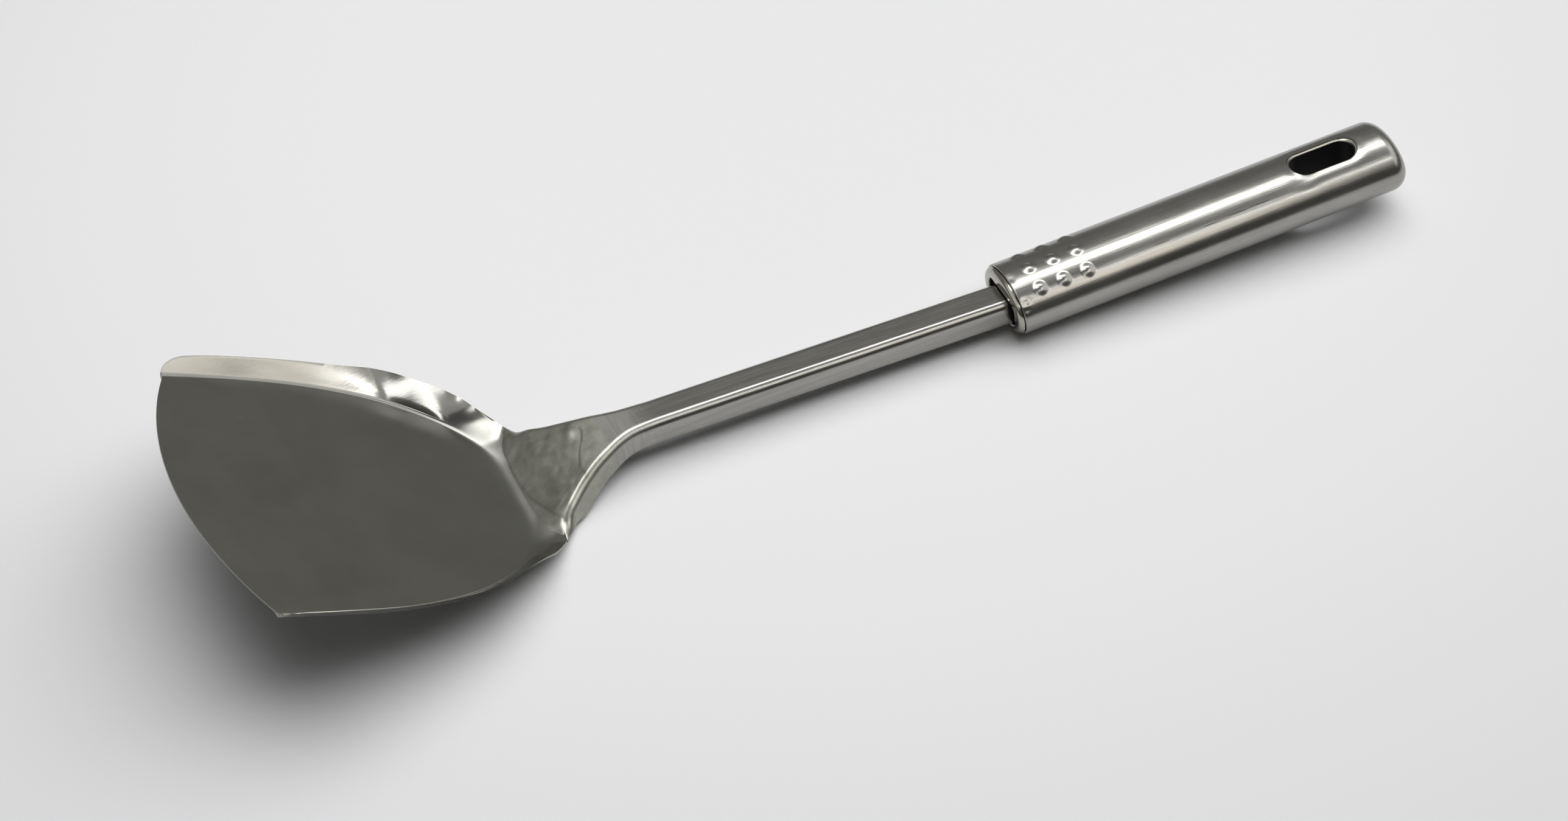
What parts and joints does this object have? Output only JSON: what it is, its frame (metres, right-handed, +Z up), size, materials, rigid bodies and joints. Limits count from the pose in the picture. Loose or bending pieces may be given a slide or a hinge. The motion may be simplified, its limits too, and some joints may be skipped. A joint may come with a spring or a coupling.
{
  "type": "serving spatula",
  "caption": "All-steel wok turner with a dished, flared blade, a channel-section shank and a hollow oval handle with a hanging slot.",
  "frame": {"origin": "on the table, under the middle of the tool's bounding box", "axes": "+X from the handle towards the blade's front edge, +Y across the tool, +Z up, in the pose it lies in on a table"},
  "size_m": [0.3616, 0.1086, 0.0438],
  "materials": {
    "blade_steel": "cold-rolled stainless sheet, satin and slightly mottled",
    "shank_steel": "stainless sheet brushed lengthwise",
    "ground_weld": "ground and polished weld",
    "handle_steel": "stainless tube, satin polished lengthwise",
    "bright_steel": "polished stainless steel",
    "black_plastic": "moulded black plastic"
  },
  "bodies": {
    "root": {"blade": "blade_steel", "shank": "shank_steel", "seam_weld": "ground_weld", "handle_tube": "handle_steel", "front_collar": "bright_steel", "end_cap": "handle_steel", "slot_liner": "black_plastic", "tang_plug": "black_plastic"}
  },
  "joints": []
}
